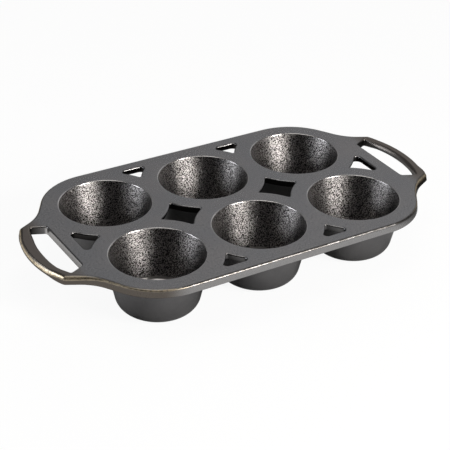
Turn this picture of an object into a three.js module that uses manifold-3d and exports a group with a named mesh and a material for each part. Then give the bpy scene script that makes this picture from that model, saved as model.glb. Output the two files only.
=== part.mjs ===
// Cast iron muffin pan: a pierced deck with six tapered cups hung under it and
// a bowed grab bar at each end. Millimetres, +Z up, standing on the cup floors.

import * as THREE from 'three';
import { mergeVertices } from 'three/addons/utils/BufferGeometryUtils.js';
import Module from 'manifold-3d';

// Cup grid, seen from the front: columns run along X and rows along Y
const COLUMN_NAMES = ['left', 'middle', 'right'];
const ROW_NAMES = ['front', 'back'];
const COLUMN_BRIDGE = 15.7;
const ROW_BRIDGE = 13.2;

// Cups: the mouth is measured on the deck's top, outside the rim rounding
const MOUTH_RADIUS = 42.3;
const RIM_ROUNDING = 1.5;
const CUP_DEPTH = 46.9;
const CUP_FLOOR = 4.6;
const CUP_WALL = 4.2;
const CUP_DRAFT = THREE.MathUtils.degToRad(12.3);
const HEEL_ROUNDING = 14;
const ROOT_FILLET = 3.5;

// Deck: a web of iron round every mouth, as far as the vents and the outer edge
const DECK_THICKNESS = 7.6;
const DECK_EDGE_ROUNDING = 1.4;
const VENT_WEB = 14.9;
const EDGE_WEB = 15.9;
const EDGE_BAND = 12.5;
const VENT_POINT_ROUNDING = 1.2;
const VENT_BASE_ROUNDING = 3;

// Ends: straight past the cups, with shoulders that sweep out to the handle roots
const END_LAND = 5;
const SHOULDER_ANGLE = THREE.MathUtils.degToRad(31.5);
const SHOULDER_HOLLOW = 43;
const ROOT_ANGLE = THREE.MathUtils.degToRad(27.5);
const ROOT_ARM = 10.2;
const ROOT_CORNER = 4;

// Handles: a bowed bar round a finger opening, a little below the deck's top
const FINGER_GAP = 21.5;
const OPENING_HALF_WIDTH = 35.5;
const OPENING_LEAN = THREE.MathUtils.degToRad(23);
const OPENING_CORNER = 3;
const OPENING_TIP = 1.2;
const BAR_WIDTH = 10.3;
const BAR_DEPTH = 6.2;
const BAR_DROP = 0.7;
const BAR_ROUNDING = 2.4;
const BAR_BOW = 99;

// Faceting
const ROUND_SEGMENTS = 36;
const HEEL_STEPS = 4;
const FILLET_STEPS = 2;
const RIM_STEPS = 3;
const EDGE_STEPS = 2;
const BAR_STEPS = 3;
const CORNER_STEPS = 4;
const ARC_STEP = THREE.MathUtils.degToRad(7);
const MERGE_DISTANCE = 1e-4;

// How far a cutting shape runs past the iron that it cuts
const CUT_MARGIN = 10;

// The largest share of a plate's thickness that one rounded edge may take
const ROUNDING_SHARE = 0.45;

// Finish: seasoned iron, smoothest on the deck
const DECK_FINISH = { color: 0x58585a, roughness: 0.5, metalness: 0.6 };
const CUP_FINISH = { color: 0x4c4a4a, roughness: 0.62, metalness: 0.6 };
const HANDLE_FINISH = { color: 0x5c5955, roughness: 0.48, metalness: 0.6 };

// Sizes that follow from the ones above
const overallHeight = CUP_DEPTH + CUP_FLOOR;
const deckUnderside = overallHeight - DECK_THICKNESS;
const columnPitch = 2 * MOUTH_RADIUS + COLUMN_BRIDGE;
const rowPitch = 2 * MOUTH_RADIUS + ROW_BRIDGE;
const lastColumnX = columnPitch * (COLUMN_NAMES.length - 1) / 2;
const lastRowY = rowPitch * (ROW_NAMES.length - 1) / 2;
const ventRadius = MOUTH_RADIUS + VENT_WEB;
const edgeRadius = MOUTH_RADIUS + EDGE_WEB;
const halfWidth = lastRowY + edgeRadius;
const plateEnd = lastColumnX + edgeRadius + END_LAND;
const barInnerReach = plateEnd + FINGER_GAP;
const halfLength = barInnerReach + BAR_WIDTH;
const rootHalfSpan = OPENING_HALF_WIDTH + ROOT_ARM;
const outerBow = BAR_BOW + BAR_WIDTH;

const wasm = await Module();
wasm.setup();

// Closed geometry as a solid that can be cut and joined
function solidFrom(geometry) {
  const bare = geometry.clone();
  bare.deleteAttribute('normal');
  bare.deleteAttribute('uv');
  const merged = mergeVertices(bare, MERGE_DISTANCE);
  const corners = merged.index.array;
  const triVerts = [];
  for (let i = 0; i < corners.length; i += 3) {
    const [a, b, c] = corners.slice(i, i + 3);
    if (a !== b && b !== c && c !== a) triVerts.push(a, b, c);
  }
  const vertProperties = new Float32Array(merged.getAttribute('position').array);
  const mesh = new wasm.Mesh({ numProp: 3, vertProperties, triVerts: new Uint32Array(triVerts) });
  return new wasm.Manifold(mesh);
}

function geometryFrom(solid) {
  const { vertProperties, triVerts } = solid.getMesh();
  const geometry = new THREE.BufferGeometry();
  geometry.setAttribute('position', new THREE.BufferAttribute(new Float32Array(vertProperties), 3));
  geometry.setIndex(new THREE.BufferAttribute(new Uint32Array(triVerts), 1));
  geometry.computeVertexNormals();
  return geometry;
}

// Points along an arc, turning from one angle to the other the way they are given
function arcPoints(centre, radius, from, to, steps = Math.ceil(Math.abs(to - from) / ARC_STEP)) {
  const points = [];
  for (let i = 0; i <= steps; i += 1) {
    const angle = from + (to - from) * i / steps;
    points.push(new THREE.Vector2(
      centre.x + radius * Math.cos(angle),
      centre.y + radius * Math.sin(angle),
    ));
  }
  return points;
}

// The arc that rounds a corner between two straight sides
function cornerArc(before, corner, after, radius, steps) {
  const back = before.clone().sub(corner).normalize();
  const ahead = after.clone().sub(corner).normalize();
  const half = Math.acos(THREE.MathUtils.clamp(back.dot(ahead), -1, 1)) / 2;
  const toCentre = back.clone().add(ahead).setLength(radius / Math.sin(half));
  const centre = corner.clone().add(toCentre);
  const start = back.clone().multiplyScalar(radius / Math.tan(half)).add(corner).sub(centre);
  const turn = Math.sign(ahead.cross(back)) * (Math.PI - 2 * half);
  return arcPoints(centre, radius, start.angle(), start.angle() + turn, steps);
}

// Centre of the circle that rounds the corner between a straight side and the
// inside of a bow; inward is the side's unit normal towards the new centre
function bowCornerCentre(sidePoint, inward, bowRadius, rounding) {
  const along = new THREE.Vector2(inward.y, -inward.x);
  if (along.x < 0) along.negate();
  const start = sidePoint.clone().addScaledVector(inward, rounding).sub(bowCentre);
  const reach = bowRadius - rounding;
  const b = start.dot(along);
  const distance = -b + Math.sqrt(b * b - start.lengthSq() + reach * reach);
  return start.addScaledVector(along, distance).add(bowCentre);
}

// A half outline and its mirror image, joined into one loop
function mirroredLoop(half, mirrorX, mirrorY) {
  const image = half.map((p) => new THREE.Vector2(p.x * mirrorX, p.y * mirrorY)).reverse();
  const loop = [...half, ...image];
  return loop.filter((p, i) => p.distanceTo(loop[(i + 1) % loop.length]) > MERGE_DISTANCE);
}

function shifted(points, x, y) {
  return points.map((p) => new THREE.Vector2(p.x + x, p.y + y));
}

// Both sides of a bar bow round this point
const bowCentre = new THREE.Vector2(barInnerReach - BAR_BOW, 0);

// One quarter of the pan's outline, from the middle of the back edge to the tip of the bar
function outlineQuarter() {
  const cornerCup = new THREE.Vector2(lastColumnX, lastRowY);
  const shoulderNormal = new THREE.Vector2(Math.cos(SHOULDER_ANGLE), Math.sin(SHOULDER_ANGLE));
  const shoulderStart = shoulderNormal.clone().multiplyScalar(edgeRadius).add(cornerCup);

  const bowReach = Math.sqrt(outerBow ** 2 - rootHalfSpan ** 2);
  const rootTip = new THREE.Vector2(bowCentre.x + bowReach, rootHalfSpan);
  const rootDirection = new THREE.Vector2(Math.cos(ROOT_ANGLE), -Math.sin(ROOT_ANGLE));
  const rootInward = new THREE.Vector2(-Math.sin(ROOT_ANGLE), -Math.cos(ROOT_ANGLE));
  const shoulderOffset = shoulderStart.clone().sub(rootTip);
  const toShoulder = shoulderOffset.dot(shoulderNormal) / rootDirection.dot(shoulderNormal);
  const rootMeet = rootTip.clone().addScaledVector(rootDirection, toShoulder);

  const tipCentre = bowCornerCentre(rootTip, rootInward, outerBow, ROOT_CORNER);
  const tipAngle = tipCentre.clone().sub(bowCentre).angle();
  const rootAngle = Math.PI / 2 - ROOT_ANGLE;
  return [
    new THREE.Vector2(0, halfWidth),
    ...arcPoints(cornerCup, edgeRadius, Math.PI / 2, SHOULDER_ANGLE),
    ...cornerArc(shoulderStart, rootMeet, rootTip, SHOULDER_HOLLOW),
    ...arcPoints(tipCentre, ROOT_CORNER, rootAngle, tipAngle, CORNER_STEPS),
    ...arcPoints(bowCentre, outerBow, tipAngle, 0),
  ];
}

// Where the finger opening's leaning end turns into the inside of the bar
const openingShoulder = new THREE.Vector2(plateEnd, OPENING_HALF_WIDTH);
const openingInward = new THREE.Vector2(Math.sin(OPENING_LEAN), -Math.cos(OPENING_LEAN));
const openingTip = bowCornerCentre(openingShoulder, openingInward, BAR_BOW, OPENING_TIP);
const barHalfSpan = openingTip.y;

// Upper half of the finger opening, from the deck's end round to the bar
function openingHalf() {
  const tipAngle = openingTip.clone().sub(bowCentre).angle();
  const leanAngle = Math.PI / 2 + OPENING_LEAN;
  const endMiddle = new THREE.Vector2(plateEnd, 0);
  const leanEnd = openingTip.clone().addScaledVector(openingInward, -OPENING_TIP);
  return [
    endMiddle,
    ...cornerArc(endMiddle, openingShoulder, leanEnd, OPENING_CORNER, CORNER_STEPS),
    ...arcPoints(openingTip, OPENING_TIP, leanAngle, tipAngle, CORNER_STEPS),
    ...arcPoints(bowCentre, BAR_BOW, tipAngle, 0),
  ];
}

// Diamond vent between four cups; its sides run round the cups at the web's width
function diamondVent() {
  const cup = new THREE.Vector2(columnPitch / 2, rowPitch / 2);
  const cornerReach = ventRadius + VENT_POINT_ROUNDING;
  const sideTip = new THREE.Vector2(cup.x - Math.sqrt(cornerReach ** 2 - cup.y ** 2), 0);
  const endTip = new THREE.Vector2(0, cup.y - Math.sqrt(cornerReach ** 2 - cup.x ** 2));
  const sideAngle = cup.clone().sub(sideTip).angle();
  const endAngle = cup.clone().sub(endTip).angle();
  const quarter = [
    ...arcPoints(sideTip, VENT_POINT_ROUNDING, 0, sideAngle, CORNER_STEPS),
    ...arcPoints(cup, ventRadius, Math.PI + sideAngle, Math.PI + endAngle),
    ...arcPoints(endTip, VENT_POINT_ROUNDING, endAngle, Math.PI / 2, CORNER_STEPS),
  ];
  return mirroredLoop(mirroredLoop(quarter, -1, 1), 1, -1);
}

// Three-cornered vent between two cups and an edge: pointed between the cups,
// which lie at half a pitch to each side, with its base square to the edge
function edgeVent(halfPitch, baseDistance) {
  const cup = new THREE.Vector2(halfPitch, 0);
  const point = new THREE.Vector2(0, Math.sqrt((ventRadius + VENT_POINT_ROUNDING) ** 2 - halfPitch ** 2));
  const baseY = baseDistance - VENT_BASE_ROUNDING;
  const baseX = halfPitch - Math.sqrt((ventRadius + VENT_BASE_ROUNDING) ** 2 - baseY ** 2);
  const base = new THREE.Vector2(baseX, baseY);
  const pointAngle = point.clone().sub(cup).angle();
  const baseAngle = base.clone().sub(cup).angle();
  const half = [
    ...arcPoints(point, VENT_POINT_ROUNDING, -Math.PI / 2, pointAngle - Math.PI, CORNER_STEPS),
    ...arcPoints(cup, ventRadius, pointAngle, baseAngle),
    ...arcPoints(base, VENT_BASE_ROUNDING, baseAngle - Math.PI, Math.PI / 2, CORNER_STEPS),
  ];
  return mirroredLoop(half, -1, 1);
}

// A flat outline raised to a thickness, with every edge of it rounded
function roundedPlate(loop, holes, thickness, rounding, steps) {
  const anticlockwise = THREE.ShapeUtils.isClockWise(loop) ? [...loop].reverse() : loop;
  const shape = new THREE.Shape(anticlockwise);
  shape.holes = holes.map((hole) => new THREE.Path(hole));
  const edge = Math.min(rounding, ROUNDING_SHARE * thickness);
  const plate = new THREE.ExtrudeGeometry(shape, {
    depth: thickness - 2 * edge,
    bevelThickness: edge,
    bevelSize: edge,
    bevelOffset: -edge,
    bevelSegments: steps,
  });
  return plate.translate(0, 0, edge);
}

// A revolved profile of [radius, height] points, turned to stand along Z
function revolved(profile) {
  return new THREE.LatheGeometry(profile, ROUND_SEGMENTS).rotateX(Math.PI / 2);
}

// Radius of a cup's inside at a height above the deck's underside
const rimSpread = RIM_ROUNDING * Math.tan((Math.PI / 2 - CUP_DRAFT) / 2);
function insideRadius(height) {
  return MOUTH_RADIUS - rimSpread - (DECK_THICKNESS - height) * Math.tan(CUP_DRAFT);
}
const wallAcross = CUP_WALL / Math.cos(CUP_DRAFT);

// What is taken out of the deck for one mouth: the cup's drafted wall, flared by the rim
function mouthCutter() {
  const below = -CUT_MARGIN;
  const above = DECK_THICKNESS + CUT_MARGIN;
  const wallFoot = new THREE.Vector2(insideRadius(below), below);
  const rim = new THREE.Vector2(insideRadius(DECK_THICKNESS), DECK_THICKNESS);
  const deckTop = new THREE.Vector2(MOUTH_RADIUS, DECK_THICKNESS);
  return revolved([
    new THREE.Vector2(0, below),
    wallFoot,
    new THREE.Vector2(insideRadius(0), 0),
    ...cornerArc(wallFoot, rim, deckTop, RIM_ROUNDING, RIM_STEPS),
    new THREE.Vector2(MOUTH_RADIUS, above),
    new THREE.Vector2(0, above),
  ]);
}

// The space that a bar takes up between its roots, at the right-hand end or, for -1, the left
function barSpace(end) {
  const length = halfLength + CUT_MARGIN - openingTip.x;
  const height = BAR_DEPTH + DECK_THICKNESS + 2 * CUT_MARGIN;
  const block = new THREE.BoxGeometry(length, 2 * barHalfSpan, height);
  return solidFrom(block.translate(end * (openingTip.x + length / 2), 0, 0));
}

// Column and row positions of the cups, and of the vents between them
const columnX = COLUMN_NAMES.map((name, i) => i * columnPitch - lastColumnX);
const rowY = ROW_NAMES.map((name, i) => i * rowPitch - lastRowY);
const betweenColumns = columnX.slice(1).map((x) => x - columnPitch / 2);
const betweenRows = rowY.slice(1).map((y) => y - rowPitch / 2);

function ventLoops() {
  const diamond = diamondVent();
  const sideVent = edgeVent(columnPitch / 2, edgeRadius - EDGE_BAND);
  const endVent = edgeVent(rowPitch / 2, edgeRadius + END_LAND - EDGE_BAND);
  const loops = [];
  for (const x of betweenColumns) {
    for (const y of betweenRows) loops.push(shifted(diamond, x, y));
    for (const side of [-1, 1]) {
      const turned = sideVent.map((p) => new THREE.Vector2(p.x, side * p.y));
      loops.push(shifted(turned, x, side * lastRowY));
    }
  }
  for (const y of betweenRows) {
    for (const end of [-1, 1]) {
      const turned = endVent.map((p) => new THREE.Vector2(end * p.y, p.x));
      loops.push(shifted(turned, end * lastColumnX, y));
    }
  }
  return loops;
}

// The deck, with its underside at height 0
function deckGeometry() {
  const outline = mirroredLoop(mirroredLoop(outlineQuarter(), 1, -1), -1, 1);
  const rightOpening = mirroredLoop(openingHalf(), 1, -1);
  const leftOpening = rightOpening.map((p) => new THREE.Vector2(-p.x, p.y));
  const holes = [...ventLoops(), rightOpening, leftOpening];
  let deck = solidFrom(roundedPlate(outline, holes, DECK_THICKNESS, DECK_EDGE_ROUNDING, EDGE_STEPS));
  deck = deck.subtract(barSpace(1)).subtract(barSpace(-1));
  const mouth = mouthCutter();
  for (const x of columnX) {
    for (const y of rowY) deck = deck.subtract(solidFrom(mouth.clone().translate(x, y, 0)));
  }
  return geometryFrom(deck);
}

// A cup from the deck's underside down, with its top at height 0
function cupGeometry() {
  const floorTop = DECK_THICKNESS - CUP_DEPTH;
  const floorUnder = floorTop - CUP_FLOOR;
  const insideTop = new THREE.Vector2(insideRadius(0), 0);
  const insideHeel = new THREE.Vector2(insideRadius(floorTop), floorTop);
  const outsideTop = new THREE.Vector2(insideRadius(0) + wallAcross, 0);
  const outsideHeel = new THREE.Vector2(insideRadius(floorUnder) + wallAcross, floorUnder);
  const underDeck = new THREE.Vector2(outsideTop.x + ROOT_FILLET, 0);
  const floorMiddle = new THREE.Vector2(0, floorTop);
  const underMiddle = new THREE.Vector2(0, floorUnder);
  return revolved([
    underMiddle,
    ...cornerArc(underMiddle, outsideHeel, outsideTop, HEEL_ROUNDING, HEEL_STEPS),
    ...cornerArc(outsideHeel, outsideTop, underDeck, ROOT_FILLET, FILLET_STEPS),
    insideTop,
    ...cornerArc(insideTop, insideHeel, floorMiddle, HEEL_ROUNDING - CUP_WALL, HEEL_STEPS),
    floorMiddle,
  ]);
}

// The right-hand bar, measured from the deck's underside; its ends are cut square at the roots
function barGeometry() {
  const runOut = barHalfSpan + CUT_MARGIN;
  const outerTurn = Math.asin(runOut / outerBow);
  const innerTurn = Math.asin(runOut / BAR_BOW);
  const loop = [
    ...arcPoints(bowCentre, outerBow, -outerTurn, outerTurn),
    ...arcPoints(bowCentre, BAR_BOW, innerTurn, -innerTurn),
  ];
  const bar = roundedPlate(loop, [], BAR_DEPTH, BAR_ROUNDING, BAR_STEPS);
  bar.translate(0, 0, DECK_THICKNESS - BAR_DROP - BAR_DEPTH);
  return geometryFrom(solidFrom(bar).intersect(barSpace(1)));
}

function namedMesh(name, geometry, finish) {
  const mesh = new THREE.Mesh(geometry, new THREE.MeshStandardMaterial(finish));
  mesh.name = name;
  return mesh;
}

function muffinPan() {
  const pan = new THREE.Group();
  pan.name = 'muffin_pan';
  const casting = new THREE.Group();
  casting.position.z = deckUnderside;
  pan.add(casting);

  casting.add(namedMesh('deck', deckGeometry(), DECK_FINISH));

  const cup = cupGeometry();
  ROW_NAMES.forEach((row, r) => {
    COLUMN_NAMES.forEach((column, c) => {
      const mesh = namedMesh(`cup_${row}_${column}`, cup, CUP_FINISH);
      mesh.position.set(columnX[c], rowY[r], 0);
      casting.add(mesh);
    });
  });

  const bar = barGeometry();
  const rightHandle = namedMesh('handle_right', bar, HANDLE_FINISH);
  const leftHandle = namedMesh('handle_left', bar, HANDLE_FINISH);
  leftHandle.rotation.z = Math.PI;
  casting.add(rightHandle, leftHandle);
  return pan;
}

export default muffinPan();
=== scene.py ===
# Looks of the cast iron muffin pan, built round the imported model.
import math

import bmesh
import bpy
from mathutils import Matrix, Vector, geometry


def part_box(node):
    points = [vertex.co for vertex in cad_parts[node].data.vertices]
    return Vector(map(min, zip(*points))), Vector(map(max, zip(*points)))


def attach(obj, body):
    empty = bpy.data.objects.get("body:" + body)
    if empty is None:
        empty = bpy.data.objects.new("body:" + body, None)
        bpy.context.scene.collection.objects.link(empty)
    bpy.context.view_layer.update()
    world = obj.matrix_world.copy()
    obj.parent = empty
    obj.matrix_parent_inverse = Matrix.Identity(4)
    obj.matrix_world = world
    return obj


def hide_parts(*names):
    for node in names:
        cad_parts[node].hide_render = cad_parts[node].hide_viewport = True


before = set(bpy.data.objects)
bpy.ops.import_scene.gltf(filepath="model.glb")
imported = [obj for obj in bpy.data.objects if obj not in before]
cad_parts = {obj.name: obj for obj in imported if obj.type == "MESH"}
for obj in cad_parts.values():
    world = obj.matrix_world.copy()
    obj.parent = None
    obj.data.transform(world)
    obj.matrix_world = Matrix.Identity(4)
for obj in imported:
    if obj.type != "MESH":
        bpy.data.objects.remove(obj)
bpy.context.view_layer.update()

# Places taken from the frame, in metres
DECK_LOW, DECK_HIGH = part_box("deck")
BAR_LOW, BAR_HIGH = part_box("handle_right")
CORNER_CUP = sum(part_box("cup_back_right"), Vector()).xy / 2
DECK_TOP = DECK_HIGH.z
DECK_UNDER = DECK_LOW.z
CUP_PLACES = {
    f"cup_{row}_{column}": Vector((CORNER_CUP.x * x, CORNER_CUP.y * y))
    for row, y in (("front", -1), ("back", 1))
    for column, x in (("left", -1), ("middle", 0), ("right", 1))
}

# Cups
MOUTH_RADIUS = 0.0423
RIM_ROUNDING = 0.0011
RIM_FLAT = 0.0009
CUP_FLOOR = 0.006
CUP_WALL = 0.0042
CUP_DRAFT = math.radians(12.3)
INSIDE_DRAFT_TOP = math.radians(15.0)
INSIDE_DRAFT_LOW = math.radians(18.5)
INSIDE_HEEL = 0.0065
HEEL_ROUNDING = 0.014
ROOT_FILLET = 0.0035

# Deck
VENT_WEB = 0.0149
EDGE_BAND = 0.0125
VENT_POINT_ROUNDING = 0.0012
VENT_BASE_ROUNDING = 0.003
END_LAND = 0.005
SHOULDER_ANGLE = math.radians(31.5)
SHOULDER_HOLLOW = 0.043
ROOT_ANGLE = math.radians(27.5)
ROOT_ARM = 0.0102
ROOT_CORNER = 0.005

# Handles
FINGER_GAP = 0.0215
OPENING_HALF_WIDTH = 0.0355
OPENING_LEAN = math.radians(23)
OPENING_CORNER = 0.003
OPENING_TIP = 0.0012
BAR_BOW = 0.099
BAR_BLEND = 0.014
ARM_ROUND_START = -0.012
OPENING_ROUND_START = 0.003
ARM_ROUND_BLEND = 0.026

# How the two handles of this casting differ
LEFT_BAR_SWELL = 0.0019
SWELL_START = -0.034
SWELL_FULL = 0.004
RIGHT_OPENING_SHIFT = 0.0009
NEAR_ROOT_REACH = 0.0021
REACH_SPAN = 0.012
REACH_START = 0.012
REACH_FULL = -0.034

# Marks that the meshes carry: each one's layer, and the socket that hands it to the finish
EDGE_MARKS = {
    "rub_and_glint": "Edge",
    "handled": "Handled",
    "walled": "Wall",
    "browned": "Browned",
    "shaded_hollow": "Shaded hollow",
}
ARM_BLEND = 0.016
BROWNED_LEFT = 0.097
BROWNED_RIGHT = 0.125
BROWNED_BLEND = 0.028
# How far from the deck's straight ends the painted shade and the paleness of the hole walls blend in
END_WALL_BLEND = 0.003
# How pale the walls are painted, as painted light where they mirror the white floor
PLATE_WALL = 0.45
# The share of painted shade on the walls of the front holes
FRONT_HOLLOW_SHADE = 0.5
SIDE_START = 0.2
HOLE_SIDE_START = 0.55
SIDE_BLEND = 0.45
# How low on the bars' bevel the rubbed band sits, placing the painted highlight there
BAR_GLINT_LOW = 2.2

# Edge sections: how far each rounding runs across and down, and the flat kept beside it
DECK_TOP_ROUND = 0.0019
DECK_LOW_ROUND = 0.0007
DECK_FLARE = 0.0006
OPENING_TOP_ROUND = 0.0013
OPENING_FLARE = 0.0002
VENT_TOP_ROUND = 0.0016
VENT_LOW_ROUND = 0.0022
VENT_LEAN = 0.0016
ARM_TOP_ACROSS = 0.0036
ARM_TOP_DOWN = 0.0042
BAR_TOP_ACROSS = 0.0024
BAR_TOP_DOWN = 0.004
BAR_LOW_ROUND = 0.0014
BEVEL_FLATNESS = 1.4
FLAT_MARGIN = 0.0004

# Each kind of edge: its top and low rounding, and how far it leans into the iron below, or above if negative
DECK_EDGE = (DECK_TOP_ROUND, DECK_LOW_ROUND, -DECK_FLARE)
VENT_EDGE = (VENT_TOP_ROUND, VENT_LOW_ROUND, VENT_LEAN)
OPENING_EDGE = (OPENING_TOP_ROUND, DECK_LOW_ROUND, -OPENING_FLARE)

# Sizes that follow from the ones above
EDGE_RADIUS = DECK_HIGH.y - CORNER_CUP.y
VENT_RADIUS = MOUTH_RADIUS + VENT_WEB
PLATE_END = CORNER_CUP.x + EDGE_RADIUS + END_LAND
BAR_INNER = PLATE_END + FINGER_GAP
OUTER_BOW = BAR_BOW + BAR_HIGH.x - BAR_INNER
BOW_CENTRE = Vector((BAR_INNER - BAR_BOW, 0.0))
ROOT_HALF_SPAN = OPENING_HALF_WIDTH + ROOT_ARM
NECK_RADIUS = MOUTH_RADIUS + RIM_FLAT

# Fineness of the meshes
ARC_STEP = math.radians(2.5)
SMALL_CORNER_STEPS = 8
ROUNDING_STEPS = 9
LOW_ROUNDING_STEPS = 4
CUP_SEGMENTS = 144
RIM_STEPS = 6
HEEL_STEPS = 14
WALL_STEPS = 10
FILLET_STEPS = 6
SAME_PLACE = 1e-7
MILLIMETRES = 1000.0
TRIANGLES_INSIDE = 1

# Zones of the plate
ON_DECK = 0
ON_BAR = 1
ON_SEAM = 2

# Camera: where the photograph was taken from
CAMERA_TARGET = Vector((-0.0272, -0.0364, DECK_TOP))
CAMERA_DISTANCE = 1.204
CAMERA_TURN = math.radians(31.44)
CAMERA_HEIGHT = math.radians(30.33)
CAMERA_ROLL = math.radians(1.33)
CAMERA_LENS = 111.0


# Outlines

def arc(centre, radius, start, end, steps=None):
    """Points along an arc, from one angle to the other."""
    count = steps or max(1, math.ceil(abs(end - start) / ARC_STEP))
    turns = [start + (end - start) * i / count for i in range(count + 1)]
    return [centre + radius * Vector((math.cos(t), math.sin(t))) for t in turns]


def angle_of(vector):
    return math.atan2(vector.y, vector.x)


def corner_arc(before, corner, after, radius, steps=None):
    """The arc that rounds a corner between two straight sides."""
    back = (before - corner).normalized()
    ahead = (after - corner).normalized()
    half = back.angle(ahead) / 2
    centre = corner + (back + ahead).normalized() * (radius / math.sin(half))
    start = angle_of(corner + back * (radius / math.tan(half)) - centre)
    turn = math.pi - 2 * half
    if back.x * ahead.y - back.y * ahead.x > 0:
        turn = -turn
    return arc(centre, radius, start, start + turn, steps)


def bow_corner(side_point, inward, bow_radius, rounding):
    """Centre of the circle between a straight side and the inside of a bow."""
    along = Vector((abs(inward.y), -inward.x * math.copysign(1, inward.y)))
    start = side_point + inward * rounding - BOW_CENTRE
    reach = bow_radius - rounding
    ahead = start.dot(along)
    distance = -ahead + math.sqrt(ahead * ahead - start.length_squared + reach * reach)
    return start + along * distance + BOW_CENTRE


def without_doubles(loop):
    return [p for i, p in enumerate(loop) if (p - loop[i - 1]).length > SAME_PLACE]


def mirrored(half, flip_x, flip_y):
    """A half outline joined to its mirror image."""
    image = [Vector((p.x * flip_x, p.y * flip_y)) for p in reversed(half)]
    return without_doubles(list(half) + image)


def anticlockwise(loop):
    area = sum(loop[i - 1].x * p.y - loop[i - 1].y * p.x for i, p in enumerate(loop))
    return loop if area > 0 else list(reversed(loop))


OPENING_SHOULDER = Vector((PLATE_END, OPENING_HALF_WIDTH))
OPENING_INWARD = Vector((math.sin(OPENING_LEAN), -math.cos(OPENING_LEAN)))
OPENING_TIP_CENTRE = bow_corner(OPENING_SHOULDER, OPENING_INWARD, BAR_BOW, OPENING_TIP)
SEAM_Y = OPENING_TIP_CENTRE.y


def bow(radius, start):
    """A bow from a root to the bar's middle, with a point where the bar is parted off."""
    seam = math.asin(SEAM_Y / radius)
    return arc(BOW_CENTRE, radius, start, seam) + arc(BOW_CENTRE, radius, seam, 0.0)


def outline_quarter():
    """From the middle of the back edge round to the tip of the right-hand bar."""
    normal = Vector((math.cos(SHOULDER_ANGLE), math.sin(SHOULDER_ANGLE)))
    shoulder = CORNER_CUP + normal * EDGE_RADIUS
    bow_reach = math.sqrt(OUTER_BOW ** 2 - ROOT_HALF_SPAN ** 2)
    root_tip = Vector((BOW_CENTRE.x + bow_reach, ROOT_HALF_SPAN))
    direction = Vector((math.cos(ROOT_ANGLE), -math.sin(ROOT_ANGLE)))
    inward = Vector((-math.sin(ROOT_ANGLE), -math.cos(ROOT_ANGLE)))
    meet = root_tip + direction * ((shoulder - root_tip).dot(normal) / direction.dot(normal))
    tip = bow_corner(root_tip, inward, OUTER_BOW, ROOT_CORNER)
    tip_angle = angle_of(tip - BOW_CENTRE)
    return [
        Vector((0.0, DECK_HIGH.y)),
        *arc(CORNER_CUP, EDGE_RADIUS, math.pi / 2, SHOULDER_ANGLE),
        *corner_arc(shoulder, meet, root_tip, SHOULDER_HOLLOW),
        *arc(tip, ROOT_CORNER, math.pi / 2 - ROOT_ANGLE, tip_angle, SMALL_CORNER_STEPS),
        *bow(OUTER_BOW, tip_angle),
    ]


def opening_half():
    """Half of the finger opening, from the deck's end round to the bar."""
    tip_angle = angle_of(OPENING_TIP_CENTRE - BOW_CENTRE)
    middle = Vector((PLATE_END, 0.0))
    lean_end = OPENING_TIP_CENTRE - OPENING_INWARD * OPENING_TIP
    lean_angle = math.pi / 2 + OPENING_LEAN
    return [
        middle,
        *corner_arc(middle, OPENING_SHOULDER, lean_end, OPENING_CORNER, SMALL_CORNER_STEPS),
        *arc(OPENING_TIP_CENTRE, OPENING_TIP, lean_angle, tip_angle, SMALL_CORNER_STEPS),
        *bow(BAR_BOW, tip_angle),
    ]


def diamond_vent():
    """The vent between four cups."""
    cup = Vector((CORNER_CUP.x / 2, CORNER_CUP.y))
    reach = VENT_RADIUS + VENT_POINT_ROUNDING
    side = Vector((cup.x - math.sqrt(reach ** 2 - cup.y ** 2), 0.0))
    end = Vector((0.0, cup.y - math.sqrt(reach ** 2 - cup.x ** 2)))
    side_angle = angle_of(cup - side)
    end_angle = angle_of(cup - end)
    quarter = [
        *arc(side, VENT_POINT_ROUNDING, 0.0, side_angle, SMALL_CORNER_STEPS),
        *arc(cup, VENT_RADIUS, math.pi + side_angle, math.pi + end_angle),
        *arc(end, VENT_POINT_ROUNDING, end_angle, math.pi / 2, SMALL_CORNER_STEPS),
    ]
    return mirrored(mirrored(quarter, -1, 1), 1, -1)


def edge_vent(half_pitch, base_distance):
    """A three-cornered vent: its point lies between two cups and its base along an edge."""
    cup = Vector((half_pitch, 0.0))
    point = Vector((0.0, math.sqrt((VENT_RADIUS + VENT_POINT_ROUNDING) ** 2 - half_pitch ** 2)))
    base_y = base_distance - VENT_BASE_ROUNDING
    base_x = half_pitch - math.sqrt((VENT_RADIUS + VENT_BASE_ROUNDING) ** 2 - base_y ** 2)
    base = Vector((base_x, base_y))
    point_angle = angle_of(point - cup)
    base_angle = angle_of(base - cup)
    half = [
        *arc(point, VENT_POINT_ROUNDING, -math.pi / 2, point_angle - math.pi, SMALL_CORNER_STEPS),
        *arc(cup, VENT_RADIUS, point_angle, base_angle),
        *arc(base, VENT_BASE_ROUNDING, base_angle - math.pi, math.pi / 2, SMALL_CORNER_STEPS),
    ]
    return mirrored(half, -1, 1)


def vent_loops():
    """Every vent in its place on the deck."""
    diamond = diamond_vent()
    side_vent = edge_vent(CORNER_CUP.x / 2, EDGE_RADIUS - EDGE_BAND)
    end_vent = edge_vent(CORNER_CUP.y, EDGE_RADIUS + END_LAND - EDGE_BAND)
    loops = []
    for x in (-CORNER_CUP.x / 2, CORNER_CUP.x / 2):
        loops.append([Vector((p.x + x, p.y)) for p in diamond])
        for side in (-1, 1):
            loops.append([Vector((p.x + x, side * (p.y + CORNER_CUP.y))) for p in side_vent])
    for end in (-1, 1):
        loops.append([Vector((end * (p.y + CORNER_CUP.x), p.x)) for p in end_vent])
    return loops


def opening_loops():
    """The finger opening at each end."""
    opening = mirrored(opening_half(), 1, -1)
    return [[p * end for p in opening] for end in (-1, 1)]


# The plate: deck and bars lofted as one skin, then parted at the roots

def smooth(value):
    value = min(max(value, 0.0), 1.0)
    return value * value * (3 - 2 * value)


def mix(a, b, share):
    return a + (b - a) * share


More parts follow.
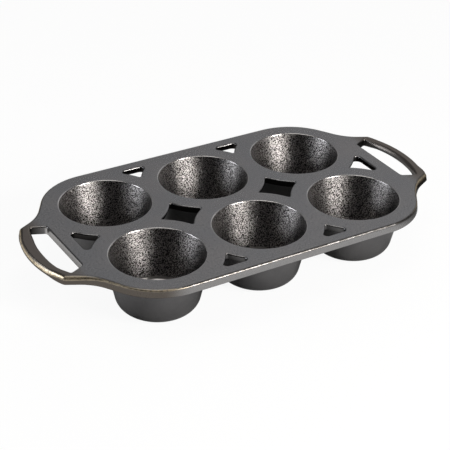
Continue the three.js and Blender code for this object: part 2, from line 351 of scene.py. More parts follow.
def zone_of(point):
    """Whether a point of a loop is on the deck, on a bar or where the two are parted."""
    if abs(point.x) < OPENING_TIP_CENTRE.x or abs(point.y) > SEAM_Y + SAME_PLACE:
        return ON_DECK
    return ON_SEAM if abs(point.y) > SEAM_Y - SAME_PLACE else ON_BAR


def bar_share(point):
    """0 on the deck and where the bar is parted off, rising to 1 along the bar."""
    if zone_of(point) != ON_BAR:
        return 0.0
    return smooth((SEAM_Y - abs(point.y)) / BAR_BLEND)


def arm_share(point, is_hole):
    """0 on the plate, rising to 1 along the arms, whose top edges are rounded like the bars."""
    start = OPENING_ROUND_START if is_hole else ARM_ROUND_START
    return smooth((abs(point.x) - PLATE_END - start) / ARM_ROUND_BLEND)


def brown_share(point):
    """How browned the outer wall is: more towards the ends, the left one most."""
    start = BROWNED_LEFT if point.x < 0 else BROWNED_RIGHT
    return smooth((abs(point.x) - start) / BROWNED_BLEND)


def hollow_shade_share(point):
    """How much painted shade darkens a hole's wall: less in front, none on the deck's straight ends and the
    bars.
    """
    if zone_of(point) != ON_DECK:
        return 0.0
    if point.y < -CORNER_CUP.y:
        return FRONT_HOLLOW_SHADE
    return smooth(abs(abs(point.x) - PLATE_END) / END_WALL_BLEND)


def wall_share(point, is_hole):
    """How pale a wall is painted, as painted light where it mirrors the white floor: most on the deck's
    straight ends.
    """
    if is_hole and zone_of(point) == ON_DECK:
        return mix(1.0, PLATE_WALL, smooth(abs(abs(point.x) - PLATE_END) / END_WALL_BLEND))
    return PLATE_WALL


def cast_place(point, is_hole):
    """Where a drawn point lies in this casting, whose two handles aren't quite alike."""
    shift = 0.0
    beyond = smooth((abs(point.x) - PLATE_END) / REACH_SPAN + 1.0)
    if is_hole and point.x < 0:
        far = smooth((point.y - SWELL_START) / (SWELL_FULL - SWELL_START))
        shift = LEFT_BAR_SWELL * far * bar_share(point)
    elif is_hole:
        shift = RIGHT_OPENING_SHIFT * beyond
    elif point.x > 0:
        near = smooth((point.y - REACH_START) / (REACH_FULL - REACH_START))
        shift = NEAR_ROOT_REACH * near * beyond * (1 - bar_share(point))
    return point + Vector((shift, 0.0))


def edge_section(point, is_hole, edge):
    """An edge from the flat top round to the flat underside, as (inset, height, rub and glint band, side)
    points.
    """
    top_round, low_round, lean = edge
    share = bar_share(point)
    arm = arm_share(point, is_hole)
    top = mix(DECK_TOP, BAR_HIGH.z, share)
    under = mix(DECK_UNDER, BAR_LOW.z, share)
    across = mix(mix(top_round, ARM_TOP_ACROSS, arm), BAR_TOP_ACROSS, share)
    down = mix(mix(top_round, ARM_TOP_DOWN, arm), BAR_TOP_DOWN, share)
    flatness = mix(1.0, BEVEL_FLATNESS, share)
    low_round = mix(low_round, BAR_LOW_ROUND, share)
    flare = mix(max(-lean, 0.0), 0.0, share)
    low_inset = max(lean, 0.0)
    side_start = HOLE_SIDE_START if is_hole else SIDE_START
    section = [(flare + across + FLAT_MARGIN, top, 0.0, 0.0)]
    for i in range(ROUNDING_STEPS + 1):
        turn = math.pi / 2 * i / ROUNDING_STEPS
        inset = flare + across * (1 - math.sin(turn) ** flatness)
        height = top - down * (1 - max(0.0, math.cos(turn)) ** flatness)
        side = smooth((i / ROUNDING_STEPS - side_start) / SIDE_BLEND)
        # The rubbed band: on the bars it sits low on the bevel, where it places the painted highlight
        wear_and_glint = math.sin(math.pi * (i / ROUNDING_STEPS) ** mix(1.0, BAR_GLINT_LOW, share))
        section.append((inset, height, wear_and_glint, side))
    for i in range(LOW_ROUNDING_STEPS + 1):
        turn = math.pi / 2 * i / LOW_ROUNDING_STEPS
        height = under + low_round * (1 - math.sin(turn))
        section.append((low_inset + low_round * (1 - math.cos(turn)), height, 0.0, 1.0))
    section.append((low_inset + low_round + FLAT_MARGIN, under, 0.0, 1.0))
    return section


def into_iron(loop, is_hole):
    """Directions from each point of an anticlockwise loop into the iron, kept on the parting lines."""
    directions = []
    for i, point in enumerate(loop):
        before = (point - loop[i - 1]).normalized()
        after = (loop[(i + 1) % len(loop)] - point).normalized()
        along = (before + after).normalized()
        outward = Vector((along.y, -along.x))
        if zone_of(point) == ON_SEAM:
            outward = Vector((1 / outward.x, 0.0))
        directions.append(outward if is_hole else -outward)
    return directions


def loft_edge(mesh, loop, is_hole, edge):
    """Lofts the edge section round a loop and gives back a column of vertices for each point."""
    zone = mesh.verts.layers.int["zone"]
    marks = {name: mesh.verts.layers.float[name] for name in EDGE_MARKS}
    columns = []
    for point, direction in zip(loop, into_iron(loop, is_hole)):
        column = []
        for inset, height, wear_and_glint, side in edge_section(point, is_hole, edge):
            place = cast_place(point, is_hole) + direction * inset
            vertex = mesh.verts.new((place.x, place.y, height))
            vertex[zone] = zone_of(point)
            vertex[marks["handled"]] = smooth((abs(place.x) - PLATE_END) / ARM_BLEND)
            vertex[marks["walled"]] = side * wall_share(point, is_hole)
            # Hole walls take painted shade; the outline's edges take the rubbed band and the browning
            if is_hole:
                vertex[marks["shaded_hollow"]] = side * hollow_shade_share(point)
            else:
                vertex[marks["rub_and_glint"]] = wear_and_glint
                vertex[marks["browned"]] = side * brown_share(point)
            column.append(vertex)
        columns.append(column)
    for i, column in enumerate(columns):
        previous = columns[i - 1]
        for a in range(len(column) - 1):
            mesh.faces.new((previous[a], column[a], column[a + 1], previous[a + 1]))
    return columns


def loft_neck(mesh, centre):
    """The round hole that a cup's neck fills, as columns of a top and a bottom vertex."""
    columns = []
    levels = (DECK_TOP, DECK_UNDER)
    for place in arc(centre, NECK_RADIUS, 0.0, 2 * math.pi, CUP_SEGMENTS)[:-1]:
        columns.append([mesh.verts.new((place.x, place.y, level)) for level in levels])
    for i, (top, low) in enumerate(columns):
        last_top, last_low = columns[i - 1]
        mesh.faces.new((last_top, top, low, last_low))
        mesh.edges.get((last_top, top)).smooth = False
        mesh.edges.get((last_low, low)).smooth = False
    return columns


def seam_links(mesh, rings):
    """Pairs of vertices, on a bar's outer and inner edge, that its parting line joins."""
    zone = mesh.verts.layers.int["zone"]
    corners = {}
    for vertex in [v for ring in rings for v in ring if v[zone] == ON_SEAM]:
        corners.setdefault((vertex.co.x > 0, vertex.co.y > 0), []).append(vertex)
    return list(corners.values())


def cap(mesh, rings):
    """Fills the flat between an outline's ring and its holes' rings with triangles."""
    vertices = [v for ring in rings for v in ring]
    ring_of = [number for number, ring in enumerate(rings) for _ in ring]
    index = {v: i for i, v in enumerate(vertices)}
    edges = [(index[ring[i - 1]], index[v]) for ring in rings for i, v in enumerate(ring)]
    edges += [(index[a], index[b]) for a, b in seam_links(mesh, rings)]
    points = [v.co.xy * MILLIMETRES for v in vertices]
    filled = geometry.delaunay_2d_cdt(points, edges, [], TRIANGLES_INSIDE, SAME_PLACE)
    _, _, triangles, origins, *_ = filled
    for triangle in triangles:
        corners = [origins[i][0] for i in triangle]
        on_rings = {ring_of[i] for i in corners}
        if len(on_rings) > 1 or on_rings == {0}:
            mesh.faces.new([vertices[i] for i in corners])


def plate_skin():
    """Deck and both bars as one closed mesh."""
    mesh = bmesh.new()
    mesh.verts.layers.int.new("zone")
    for name in EDGE_MARKS:
        mesh.verts.layers.float.new(name)
    outline = mirrored(mirrored(outline_quarter(), 1, -1), -1, 1)
    lofts = [loft_edge(mesh, anticlockwise(outline), False, DECK_EDGE)]
    lofts += [loft_edge(mesh, anticlockwise(loop), True, VENT_EDGE) for loop in vent_loops()]
    lofts += [loft_edge(mesh, anticlockwise(loop), True, OPENING_EDGE) for loop in opening_loops()]
    lofts += [loft_neck(mesh, centre) for centre in CUP_PLACES.values()]
    for level in (0, -1):
        cap(mesh, [[column[level] for column in loft] for loft in lofts])
    return mesh


def parted(plate, wanted):
    """A copy of those faces of the plate that are wanted, closed where they are parted off."""
    part = plate.copy()
    unwanted = [face for face in part.faces if not wanted(part, face)]
    bmesh.ops.delete(part, geom=unwanted, context="FACES")
    cut_edges = [edge for edge in part.edges if edge.is_boundary]
    for edge in cut_edges:
        edge.smooth = False
    bmesh.ops.holes_fill(part, edges=cut_edges, sides=0)
    return part


def on_bar(part, face):
    zone = part.verts.layers.int["zone"]
    zones = {vertex[zone] for vertex in face.verts}
    return ON_DECK not in zones and ON_BAR in zones


def deck_mesh(plate):
    return parted(plate, lambda part, face: not on_bar(part, face))


def bar_mesh(plate, end):
    return parted(plate, lambda part, face: on_bar(part, face) and face.verts[0].co.x * end > 0)


# Cups

OUTSIDE_SKIN = 0
RIM_SKIN = 1
INSIDE_SKIN = 2


def inside_radius(height):
    """The cup's inside wall, carried straight on to any height."""
    spread = RIM_ROUNDING * math.tan((math.pi / 2 - CUP_DRAFT) / 2)
    return MOUTH_RADIUS - spread - (DECK_TOP - height) * math.tan(CUP_DRAFT)


def outside_radius(height):
    return inside_radius(height) + CUP_WALL / math.cos(CUP_DRAFT)


def outside_heel():
    """The rounding between the underside and the outer wall, from the underside up."""
    radius = outside_radius(HEEL_ROUNDING) - HEEL_ROUNDING / math.cos(CUP_DRAFT)
    centre = Vector((radius, HEEL_ROUNDING))
    return arc(centre, HEEL_ROUNDING, -math.pi / 2, -CUP_DRAFT, HEEL_STEPS)


def wall(start, end):
    """Points between two others along a straight wall."""
    return [start.lerp(end, i / WALL_STEPS) for i in range(1, WALL_STEPS)]


def cup_inside(start):
    """The inside from the rim's edge: a wall that leans a little more with depth, heel and floor."""
    heel_drop = INSIDE_HEEL * (1 - math.sin(INSIDE_DRAFT_LOW))
    wall_drop = start.y - CUP_FLOOR - heel_drop
    bow_radius = wall_drop / (math.sin(INSIDE_DRAFT_LOW) - math.sin(INSIDE_DRAFT_TOP))
    outward = Vector((math.cos(INSIDE_DRAFT_TOP), -math.sin(INSIDE_DRAFT_TOP)))
    bow_centre = start - bow_radius * outward
    bowed_wall = arc(bow_centre, bow_radius, -INSIDE_DRAFT_TOP, -INSIDE_DRAFT_LOW, WALL_STEPS)
    heel_centre = bowed_wall[-1].lerp(bow_centre, INSIDE_HEEL / bow_radius)
    rounded_heel = arc(heel_centre, INSIDE_HEEL, -INSIDE_DRAFT_LOW, -math.pi / 2, HEEL_STEPS)
    return bowed_wall[1:] + rounded_heel[1:]


def cup_profile():
    """Half section from the middle of the underside, over the rim to the middle of the floor."""
    outer_heel = outside_heel()
    fillet_level = DECK_UNDER - ROOT_FILLET
    fillet_radius = outside_radius(fillet_level) + ROOT_FILLET / math.cos(CUP_DRAFT)
    fillet_centre = Vector((fillet_radius, fillet_level))
    fillet = arc(fillet_centre, ROOT_FILLET, math.pi - CUP_DRAFT, math.pi / 2, FILLET_STEPS)
    outside = [*outer_heel, *wall(outer_heel[-1], fillet[0]), *fillet]
    neck = [Vector((NECK_RADIUS, DECK_UNDER)), Vector((NECK_RADIUS, DECK_TOP))]
    rim_centre = Vector((MOUTH_RADIUS, DECK_TOP - RIM_ROUNDING))
    rim = arc(rim_centre, RIM_ROUNDING, math.pi / 2, math.pi - INSIDE_DRAFT_TOP, RIM_STEPS)
    inside = cup_inside(rim[-1])
    skins = [(outside, OUTSIDE_SKIN), (neck, OUTSIDE_SKIN), (rim, RIM_SKIN), (inside, INSIDE_SKIN)]
    return [(point, skin) for points, skin in skins for point in points]


def cup_mesh(centre):
    """A cup turned from its profile about the middle of its mouth."""
    mesh = bmesh.new()
    walled = mesh.verts.layers.float.new("walled")
    profile = cup_profile()
    turns = [2 * math.pi * i / CUP_SEGMENTS for i in range(CUP_SEGMENTS)]
    rings = []
    for point, skin in profile:
        ring = []
        for turn in turns:
            place = centre + point.x * Vector((math.cos(turn), math.sin(turn)))
            vertex = mesh.verts.new((place.x, place.y, point.y))
            # A pale band on the rim's rounding, which brightens the lamps' glints there
            if skin == RIM_SKIN:
                lean = math.acos(min(1.0, (point.y - DECK_TOP) / RIM_ROUNDING + 1))
                vertex[walled] = max(0.0, math.sin(lean * 2))
            ring.append(vertex)
        rings.append(ring)
    for (lower, upper), (_, skin) in zip(zip(rings, rings[1:]), profile[1:]):
        for i in range(CUP_SEGMENTS):
            face = mesh.faces.new((lower[i - 1], lower[i], upper[i], upper[i - 1]))
            face.material_index = skin
    underside = mesh.faces.new(rings[0])
    underside.material_index = OUTSIDE_SKIN
    floor = mesh.faces.new(rings[-1])
    floor.material_index = INSIDE_SKIN
    for ring, (point, _) in zip(rings, profile):
        if point.x > NECK_RADIUS - SAME_PLACE and point.y > DECK_UNDER - SAME_PLACE:
            for i in range(CUP_SEGMENTS):
                mesh.edges.get((ring[i - 1], ring[i])).smooth = False
    return mesh


# Finishes

# Grains, patches and pebbles: how many go to a metre, and how their noise is made
DECK_GRAINS = 1100.0
INSIDE_GRAINS = 1500.0
OUTSIDE_GRAINS = 800.0
DECK_PATCHES = 22.0
INSIDE_PATCHES = 40.0
OUTSIDE_PATCHES = 30.0
SPECKS = 700.0
SWELLS = 90.0
RUB_AND_GLINT_BREAKS = 420.0
PEBBLES = 1000.0
GRAIN_LAYERS = 3.0
FINE_LAYERS = 2.0
PATCH_LAYERS = 4.0
PLAIN_NOISE = 0.5
GRAIN_NOISE = 0.6
PATCH_NOISE = 0.62
PEBBLE_NOISE = 0.55
SWELL_WEIGHT = 2.2
RUB_AND_GLINT_AMOUNT = 0.95

# The limits between which a noise or a height is spread from 0 to 1
WHOLE = (0.0, 1.0)
SPECK_LIMITS = (0.3, 0.7)
PATCH_LIMITS = (0.34, 0.66)
BREAK_LIMITS = (0.25, 0.55)
PEBBLE_LIMITS = (0.45, 0.58)
HEEL_LIMITS = (0.0098, 0.0108)

# Colours of the iron
DECK_COOL = (0.191, 0.192, 0.197)
DECK_WARM = (0.222, 0.213, 0.21)
DECK_SPECK = (0.13, 0.13, 0.132)
HANDLED_BRONZE = (0.13, 0.116, 0.105)
# Pale iron on the walls and rims: painted light on the walls, where they mirror the white floor
PALE_WALL = (0.43, 0.418, 0.41)
BROWN_WALL = (0.108, 0.094, 0.081)
# Painted shade on the walls of the holes, which look into the dark under the pan
HOLLOW_SHADE = (0.03, 0.028, 0.027)
# The rubbed band's colours: dark on the deck's edge, dimming its glint, and gold towards the ends, a painted
# highlight along the bars with wear at the roots
DIMMED_GLINT_EDGE = (0.044, 0.04, 0.035)
GOLD_WEAR_AND_GLINT = (0.7, 0.59, 0.42)
INSIDE_DEEP = (0.268, 0.257, 0.253)
INSIDE_PALE = (0.35, 0.336, 0.33)
# Near black between the pebbles: seasoning lying there, and painted shade in the hollows
PEBBLE_VALLEY = (0.012, 0.0115, 0.0115)
OUTSIDE_DEEP = (0.132, 0.13, 0.132)
OUTSIDE_PALE = (0.164, 0.16, 0.16)

# Gloss and relief
BARE_METAL = 1.0
DULL_METAL = 0.85
GRAZING_TINT = (0.4, 0.4, 0.4, 1.0)
DECK_ROUGHNESS = (0.29, 0.2)
INSIDE_ROUGHNESS = (0.277, 0.29)
OUTSIDE_ROUGHNESS = (0.28, 0.33)
EDGE_ROUGHNESS = 0.34
HANDLED_ROUGHNESS = 0.36
DECK_RELIEF = 0.00007
INSIDE_RELIEF = 0.00036
OUTSIDE_RELIEF = 0.00016
WORN_LEVEL = 1.6
GRAIN_LEAN = math.tan(math.radians(5.0))

# Places of the colour sockets on a mix node
FIRST_COLOUR = 6
SECOND_COLOUR = 7
MIXED_COLOUR = 2


def add_node(tree, kind, values=None, **settings):
    """Adds a node with its settings and the values of its unlinked inputs."""
    node = tree.nodes.new(kind)
    for name, setting in settings.items():
        setattr(node, name, setting)
    for name, value in (values or {}).items():
        node.inputs[name].default_value = value
    return node


def noise(tree, place, scale, layers, roughness=PLAIN_NOISE):
    """Noise laid through the pan, with as many spots to the metre as the scale says."""
    node = add_node(tree, "ShaderNodeTexNoise", {"Detail": layers, "Roughness": roughness})
    tree.links.new(place.outputs["Object"], node.inputs["Vector"])
    if isinstance(scale, float):
        node.inputs["Scale"].default_value = scale
    else:
        tree.links.new(scale, node.inputs["Scale"])
    return node.outputs["Fac"]


def spread(tree, value, limits, low=0.0, high=1.0):
    """Runs from low to high as the value runs between its limits."""
    start, end = limits
    ends = {"From Min": start, "From Max": end, "To Min": low, "To Max": high}
    node = add_node(tree, "ShaderNodeMapRange", ends)
    tree.links.new(value, node.inputs["Value"])
    return node.outputs["Result"]


def joined(tree, operation, first, second):
    """Two values worked into one."""
    node = add_node(tree, "ShaderNodeMath", operation=operation)
    tree.links.new(first, node.inputs[0])
    tree.links.new(second, node.inputs[1])
    return node.outputs["Value"]


def weighted_sum(tree, first, weight, second):
    """The first value times a fixed weight, plus the second."""
    node = add_node(tree, "ShaderNodeMath", {1: weight}, operation="MULTIPLY_ADD")
    tree.links.new(first, node.inputs[0])
    tree.links.new(second, node.inputs[2])
    return node.outputs["Value"]


def blended_colour(tree, factor, first, second):
    """A colour that runs from the first to the second as the factor runs from 0 to 1."""
    blend = add_node(tree, "ShaderNodeMix", data_type="RGBA")
    tree.links.new(factor, blend.inputs["Factor"])
    for value, number in ((first, FIRST_COLOUR), (second, SECOND_COLOUR)):
        if isinstance(value, tuple):
            blend.inputs[number].default_value = (*value, 1.0)
        else:
            tree.links.new(value, blend.inputs[number])
    return blend.outputs[MIXED_COLOUR]


def blended_value(tree, factor, first, second):
    """A value that runs from a varying one to a fixed one as the factor runs from 0 to 1."""
    blend = add_node(tree, "ShaderNodeMix", {"B": second}, data_type="FLOAT")
    tree.links.new(factor, blend.inputs["Factor"])
    tree.links.new(first, blend.inputs["A"])
    return blend.outputs["Result"]


def new_group(name, inputs, outputs):
    """A shader node group with its sockets, and its input and output nodes."""
    group = bpy.data.node_groups.new(name, "ShaderNodeTree")
    for in_out, sockets in (("INPUT", inputs), ("OUTPUT", outputs)):
        for socket in sockets:
            group.interface.new_socket(socket, in_out=in_out, socket_type="NodeSocketFloat")
    return group, group.nodes.new("NodeGroupInput"), group.nodes.new("NodeGroupOutput")


def place_group(tree, group, values):
    """Puts a node group into a material with its own values."""
    return add_node(tree, "ShaderNodeGroup", values, node_tree=group)


def sand_grain_group():
    """The skin that the sand mould leaves: fine grains over a slow swell."""
    group, inputs, outputs = new_group("sand_grain", ["Grains per metre"], ["Height", "Speck"])
    place = group.nodes.new("ShaderNodeTexCoord")
    grain = noise(group, place, inputs.outputs["Grains per metre"], GRAIN_LAYERS, GRAIN_NOISE)
    swell = noise(group, place, SWELLS, FINE_LAYERS)
    speck = noise(group, place, SPECKS, FINE_LAYERS)
    group.links.new(weighted_sum(group, swell, SWELL_WEIGHT, grain), outputs.inputs["Height"])
    group.links.new(spread(group, speck, SPECK_LIMITS), outputs.inputs["Speck"])
    return group


def seasoning_group():
    """Where the baked oil lies thicker or thinner, in patches."""
    group, inputs, outputs = new_group("seasoning", ["Patches per metre"], ["Patch"])
    place = group.nodes.new("ShaderNodeTexCoord")
    patch = noise(group, place, inputs.outputs["Patches per metre"], PATCH_LAYERS, PATCH_NOISE)
    group.links.new(spread(group, patch, PATCH_LIMITS), outputs.inputs["Patch"])
    return group


def edge_rub_and_glint_group():
    """The marks that the meshes carry, and the rubbed edge band in broken lines: wear, which on the bars
    also places painted highlights and on the deck's edge dims the glint.
    """
    group, inputs, outputs = new_group("edge_rub_and_glint", ["Amount"], ["Rub", *EDGE_MARKS.values()])
    for name, socket in EDGE_MARKS.items():
        mark = add_node(group, "ShaderNodeAttribute", attribute_name=name)
        group.links.new(mark.outputs["Fac"], outputs.inputs[socket])
    edge = add_node(group, "ShaderNodeAttribute", attribute_name="rub_and_glint")
    place = group.nodes.new("ShaderNodeTexCoord")
    breaks = noise(group, place, RUB_AND_GLINT_BREAKS, GRAIN_LAYERS, GRAIN_NOISE)
    wear_and_glint = joined(group, "MULTIPLY", spread(group, breaks, BREAK_LIMITS), edge.outputs["Fac"])
    rub_and_glint = joined(group, "MULTIPLY", wear_and_glint, inputs.outputs["Amount"])
    group.links.new(rub_and_glint, outputs.inputs["Rub"])
    return group


def new_iron(name, metallic):
    """An empty iron finish: its node tree and its Principled shader."""
    material = bpy.data.materials.new(name)
    material.use_nodes = True
    shader = material.node_tree.nodes["Principled BSDF"]
    shader.inputs["Metallic"].default_value = metallic
    return material, material.node_tree, shader


def add_bump(tree, shader, height, relief):
    """Relief in metres from a height."""
    bump = add_node(tree, "ShaderNodeBump", {"Strength": 1.0, "Distance": relief})
    tree.links.new(height, bump.inputs["Height"])
    tree.links.new(bump.outputs["Normal"], shader.inputs["Normal"])


def deck_colour(tree, grain, patch, rub_and_glint):
    """Speckled grey, bronzed by hands, with browned walls, walls painted pale as painted light, hole walls
    darkened with painted shade, and rubbed edges that carry painted highlights on the bars.
    """
    grey = blended_colour(tree, patch.outputs["Patch"], DECK_COOL, DECK_WARM)
    skin = blended_colour(tree, grain.outputs["Speck"], DECK_SPECK, grey)
    bronzed = blended_colour(tree, rub_and_glint.outputs["Handled"], skin, HANDLED_BRONZE)
    walled = blended_colour(tree, rub_and_glint.outputs["Wall"], bronzed, PALE_WALL)
    browned = blended_colour(tree, rub_and_glint.outputs["Browned"], walled, BROWN_WALL)
    # Painted shade on the hole walls, then the rubbed band with its painted highlights
    shaded_hollow = blended_colour(tree, rub_and_glint.outputs["Shaded hollow"], browned, HOLLOW_SHADE)
    edge = blended_colour(tree, rub_and_glint.outputs["Browned"], DIMMED_GLINT_EDGE, GOLD_WEAR_AND_GLINT)
    return blended_colour(tree, rub_and_glint.outputs["Rub"], shaded_hollow, edge)


def deck_iron(groups):
    """Seasoned top skin: satin, duller on the bars and the worn edges, which have lost their grain."""
    material, tree, shader = new_iron("deck_iron", BARE_METAL)
    shader.inputs["Specular Tint"].default_value = GRAZING_TINT
    grain = place_group(tree, groups["grain"], {"Grains per metre": DECK_GRAINS})
    patch = place_group(tree, groups["seasoning"], {"Patches per metre": DECK_PATCHES})
    rub_and_glint = place_group(tree, groups["rub_and_glint"], {"Amount": RUB_AND_GLINT_AMOUNT})
    tree.links.new(deck_colour(tree, grain, patch, rub_and_glint), shader.inputs["Base Color"])
    satin = spread(tree, grain.outputs["Speck"], WHOLE, *DECK_ROUGHNESS)
    wear_and_glint = blended_value(tree, rub_and_glint.outputs["Edge"], satin, EDGE_ROUGHNESS)
    handled = blended_value(tree, rub_and_glint.outputs["Handled"], wear_and_glint, HANDLED_ROUGHNESS)
    tree.links.new(handled, shader.inputs["Roughness"])
    height = blended_value(tree, rub_and_glint.outputs["Edge"], grain.outputs["Height"], WORN_LEVEL)
    add_bump(tree, shader, height, DECK_RELIEF)
    return material


def cup_inside_iron(groups):
    """Oiled inside skin, pebbled above the heel: its grains lean upwards, as the sand was drawn."""
    material, tree, shader = new_iron("cup_inside_iron", BARE_METAL)
    grain = place_group(tree, groups["grain"], {"Grains per metre": INSIDE_GRAINS})
    patch = place_group(tree, groups["seasoning"], {"Patches per metre": INSIDE_PATCHES})
    place = tree.nodes.new("ShaderNodeTexCoord")
    level = tree.nodes.new("ShaderNodeSeparateXYZ")
    tree.links.new(place.outputs["Object"], level.inputs["Vector"])
    above_heel = spread(tree, level.outputs["Z"], HEEL_LIMITS)
    pebbles = noise(tree, place, PEBBLES, FINE_LAYERS, PEBBLE_NOISE)
    tips = spread(tree, pebbles, PEBBLE_LIMITS)
    skin = blended_colour(tree, patch.outputs["Patch"], INSIDE_DEEP, INSIDE_PALE)
    # Dark pebble valleys, partly painted shade; the heel below stays unpebbled
    pebbled = blended_colour(tree, tips, PEBBLE_VALLEY, skin)
    tree.links.new(blended_colour(tree, above_heel, skin, pebbled), shader.inputs["Base Color"])
    oiled = spread(tree, grain.outputs["Speck"], WHOLE, *INSIDE_ROUGHNESS)
    tree.links.new(oiled, shader.inputs["Roughness"])
    relief = joined(tree, "MULTIPLY", pebbles, above_heel)
    leaning = weighted_sum(tree, level.outputs["Z"], -GRAIN_LEAN / INSIDE_RELIEF, relief)
    add_bump(tree, shader, leaning, INSIDE_RELIEF)
    return material


def cup_outside_iron(groups):
    """Duller skin on the outside of the cups."""
    material, tree, shader = new_iron("cup_outside_iron", DULL_METAL)
    grain = place_group(tree, groups["grain"], {"Grains per metre": OUTSIDE_GRAINS})
    patch = place_group(tree, groups["seasoning"], {"Patches per metre": OUTSIDE_PATCHES})
    skin = blended_colour(tree, patch.outputs["Patch"], OUTSIDE_DEEP, OUTSIDE_PALE)
    tree.links.new(skin, shader.inputs["Base Color"])
    dull = spread(tree, grain.outputs["Speck"], WHOLE, *OUTSIDE_ROUGHNESS)
    tree.links.new(dull, shader.inputs["Roughness"])
    add_bump(tree, shader, grain.outputs["Height"], OUTSIDE_RELIEF)
    return material


# Pieces

def piece(name, mesh, materials):
    """Turns a mesh into the piece that stands for a node."""
    bmesh.ops.recalc_face_normals(mesh, faces=mesh.faces)
    for face in mesh.faces:
        face.smooth = True
    data = bpy.data.meshes.new(name + "_skin")
    mesh.to_mesh(data)
    mesh.free()
    for material in materials:
        data.materials.append(material)
    made = bpy.data.objects.new(name + "_skin", data)
    bpy.context.scene.collection.objects.link(made)
    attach(made, "root")
    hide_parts(name)


def build_pan():
    """Deck, bars and cups, each in its finish."""
    groups = {"grain": sand_grain_group(), "seasoning": seasoning_group(), "rub_and_glint": edge_rub_and_glint_group()}
    top_skin = deck_iron(groups)
    inside_skin = cup_inside_iron(groups)
    outside_skin = cup_outside_iron(groups)
    plate = plate_skin()
    piece("deck", deck_mesh(plate), [top_skin])
    piece("handle_left", bar_mesh(plate, -1), [top_skin])
    piece("handle_right", bar_mesh(plate, 1), [top_skin])
    plate.free()
    for name, centre in CUP_PLACES.items():
        piece(name, cup_mesh(centre), [outside_skin, top_skin, inside_skin])


# Floor, room and lamps

# The floor, and how much of its white the iron mirrors from under and beside the pan: a painted shadow under
# it and painted shade past its right end
FLOOR_SIZE = 8.0
FLOOR_GAP = 0.0002
FLOOR_GREY = (0.85, 0.85, 0.85, 1.0)
FLOOR_SHOWN = 0.93
SHADOW_HALF = (0.131, 0.066, 0.0)
SHADOW_LIMITS = (0.0, 0.076)
UNDER_PAN = 0.045
SWEEP_LIMITS = (0.185, 0.26)
SWEEP_LEFT = 0.1

# The room: a bright window side, a dimmer back wall, and near darkness towards the camera
WHITE = (1.0, 1.0, 1.0, 1.0)
ROOM_WHITE = (0.985, 0.985, 1.0, 1.0)
WINDOW_SIDE = (0.75, 0.62, 0.22)
WINDOW_LIMITS = (0.66, 1.0)
WINDOW_LEVEL = 0.86
BACK_SIDE = (0.55, 0.8, 0.25)
BACK_LIMITS = (0.1, 1.0)
BACK_LEVEL = 0.36
ROOM_DARK = 0.008

# Lamps: turn and height in degrees, size in metres, power in watts
LAMP_DISTANCE = 1.7
KEY_LAMP = {"turn": 24.0, "height": 27.5, "size": (0.62, 0.54), "power": 32.0, "colour": (1.0, 0.965, 0.93)}
FILL_LAMP = {"turn": -112.0, "height": 18.0, "size": (0.7, 0.6), "power": 10.7, "colour": (0.92, 0.95, 1.0)}
TOP_LAMP = {"turn": -60.0, "height": 83.0, "size": (1.2, 1.2), "power": 10.0, "colour": (1.0, 0.98, 0.95)}


def floor_white_with_painted_shadow(tree):
    """How much of the white floor the iron mirrors: little from under the pan, a painted shadow, and less
    far to its right, painted shade.
    """
    place = tree.nodes.new("ShaderNodeTexCoord")
    reach = add_node(tree, "ShaderNodeVectorMath", operation="ABSOLUTE")
    beyond = add_node(tree, "ShaderNodeVectorMath", {1: SHADOW_HALF}, operation="SUBTRACT")
    outside = add_node(tree, "ShaderNodeVectorMath", {1: (0.0, 0.0, 0.0)}, operation="MAXIMUM")
    distance = add_node(tree, "ShaderNodeVectorMath", operation="LENGTH")
    across = tree.nodes.new("ShaderNodeSeparateXYZ")
    tree.links.new(place.outputs["Object"], reach.inputs[0])
    tree.links.new(reach.outputs["Vector"], beyond.inputs[0])
    tree.links.new(beyond.outputs["Vector"], outside.inputs[0])
    tree.links.new(outside.outputs["Vector"], distance.inputs[0])
    tree.links.new(place.outputs["Object"], across.inputs["Vector"])
    # Painted shadow under the pan, and painted shade past its right end, in what the iron mirrors
    shown = spread(tree, distance.outputs["Value"], SHADOW_LIMITS, UNDER_PAN, FLOOR_SHOWN)
    falling = spread(tree, across.outputs["X"], SWEEP_LIMITS, 1.0, SWEEP_LEFT)
    return joined(tree, "MULTIPLY", shown, falling)


def floor_shown(tree, path):
    """How much of the floor's own white shows: most to the camera, all to mirrored rays."""
    glossy = path.outputs["Is Glossy Ray"]
    through = path.outputs["Is Transmission Ray"]
    mirrored_ray = joined(tree, "MAXIMUM", glossy, through)
    return weighted_sum(tree, path.outputs["Is Camera Ray"], FLOOR_SHOWN, mirrored_ray)


def floor_strength(tree, path):
    """Plain white to the camera, and to other rays as much as the iron mirrors, with its painted shadow and
    shade.
    """
    return joined(tree, "MAXIMUM", path.outputs["Is Camera Ray"], floor_white_with_painted_shadow(tree))


def show_mixed(tree, output, share, first, second):
    """Two shaders mixed into the output of a material or of the world."""
    both = tree.nodes.new("ShaderNodeMixShader")
    result = tree.nodes.new(output)
    tree.links.new(share, both.inputs[0])
    tree.links.new(first.outputs[0], both.inputs[1])
    tree.links.new(second.outputs[0], both.inputs[2])
    tree.links.new(both.outputs[0], result.inputs["Surface"])


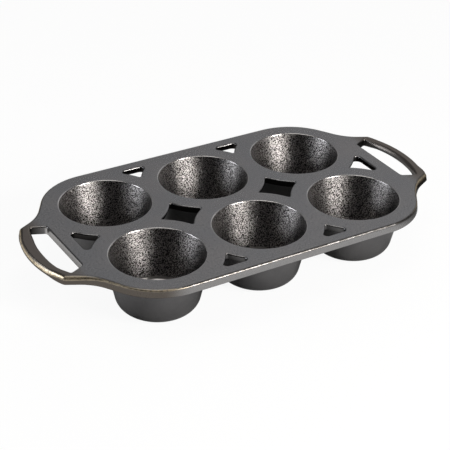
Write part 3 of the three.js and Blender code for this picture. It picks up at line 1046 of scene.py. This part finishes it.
def white_floor():
    """A plain white floor that keeps the pan's shadow."""
    bpy.ops.mesh.primitive_plane_add(size=FLOOR_SIZE, location=(0.0, 0.0, -FLOOR_GAP))
    floor = bpy.context.object
    floor.name = "floor"
    material = bpy.data.materials.new("floor_white")
    material.use_nodes = True
    tree = material.node_tree
    tree.nodes.clear()
    path = tree.nodes.new("ShaderNodeLightPath")
    diffuse = add_node(tree, "ShaderNodeBsdfDiffuse", {"Color": FLOOR_GREY})
    glow = add_node(tree, "ShaderNodeEmission", {"Color": WHITE})
    tree.links.new(floor_strength(tree, path), glow.inputs["Strength"])
    show_mixed(tree, "ShaderNodeOutputMaterial", floor_shown(tree, path), diffuse, glow)
    floor.data.materials.append(material)


def room_glow(tree, place, side, limits, low, high):
    """How bright the room is towards one of its sides."""
    towards = add_node(tree, "ShaderNodeVectorMath", {1: side}, operation="DOT_PRODUCT")
    tree.links.new(place.outputs["Generated"], towards.inputs[0])
    return spread(tree, towards.outputs["Value"], limits, low, high)


def studio_world():
    """A pale room behind and above the pan, darker towards the camera, which sees plain white."""
    world = bpy.data.worlds.new("studio")
    world.use_nodes = True
    bpy.context.scene.world = world
    tree = world.node_tree
    tree.nodes.clear()
    place = tree.nodes.new("ShaderNodeTexCoord")
    path = tree.nodes.new("ShaderNodeLightPath")
    window = room_glow(tree, place, WINDOW_SIDE, WINDOW_LIMITS, ROOM_DARK, WINDOW_LEVEL)
    back_wall = room_glow(tree, place, BACK_SIDE, BACK_LIMITS, 0.0, BACK_LEVEL)
    room = add_node(tree, "ShaderNodeBackground", {"Color": ROOM_WHITE})
    white = add_node(tree, "ShaderNodeBackground", {"Color": WHITE, "Strength": 1.0})
    tree.links.new(joined(tree, "ADD", window, back_wall), room.inputs["Strength"])
    show_mixed(tree, "ShaderNodeOutputWorld", path.outputs["Is Camera Ray"], room, white)


def direction_to(turn, height):
    """The way from the pan to a lamp or the camera: turn 0 is in front, and 90 on the right."""
    level = math.cos(height)
    return Vector((math.sin(turn) * level, -math.cos(turn) * level, math.sin(height)))


def soft_box(name, turn, height, size, power, colour):
    """A soft lamp aimed at the pan."""
    lamp = bpy.data.lights.new(name, "AREA")
    lamp.shape = "RECTANGLE"
    lamp.energy = power
    lamp.size, lamp.size_y = size
    lamp.color = colour
    holder = bpy.data.objects.new(name, lamp)
    back = direction_to(math.radians(turn), math.radians(height))
    holder.location = back * LAMP_DISTANCE
    holder.rotation_euler = back.to_track_quat("Z", "Y").to_euler()
    bpy.context.scene.collection.objects.link(holder)


def studio_lamps():
    soft_box("key", **KEY_LAMP)
    soft_box("fill", **FILL_LAMP)
    soft_box("overhead", **TOP_LAMP)


def place_camera():
    """The camera, turned, raised and rolled as for the photograph."""
    back = direction_to(-CAMERA_TURN, CAMERA_HEIGHT)
    level_right = Vector((math.cos(CAMERA_TURN), -math.sin(CAMERA_TURN), 0.0))
    level_up = back.cross(level_right)
    right = level_right * math.cos(CAMERA_ROLL) + level_up * math.sin(CAMERA_ROLL)
    up = level_up * math.cos(CAMERA_ROLL) - level_right * math.sin(CAMERA_ROLL)
    data = bpy.data.cameras.new("photo_camera")
    data.lens = CAMERA_LENS
    camera = bpy.data.objects.new("photo_camera", data)
    facing = Matrix((right, up, back)).transposed().to_4x4()
    camera.matrix_world = Matrix.Translation(CAMERA_TARGET + back * CAMERA_DISTANCE) @ facing
    bpy.context.scene.collection.objects.link(camera)
    bpy.context.scene.camera = camera


build_pan()
white_floor()
studio_world()
studio_lamps()
place_camera()
bpy.context.scene.view_settings.view_transform = "Standard"
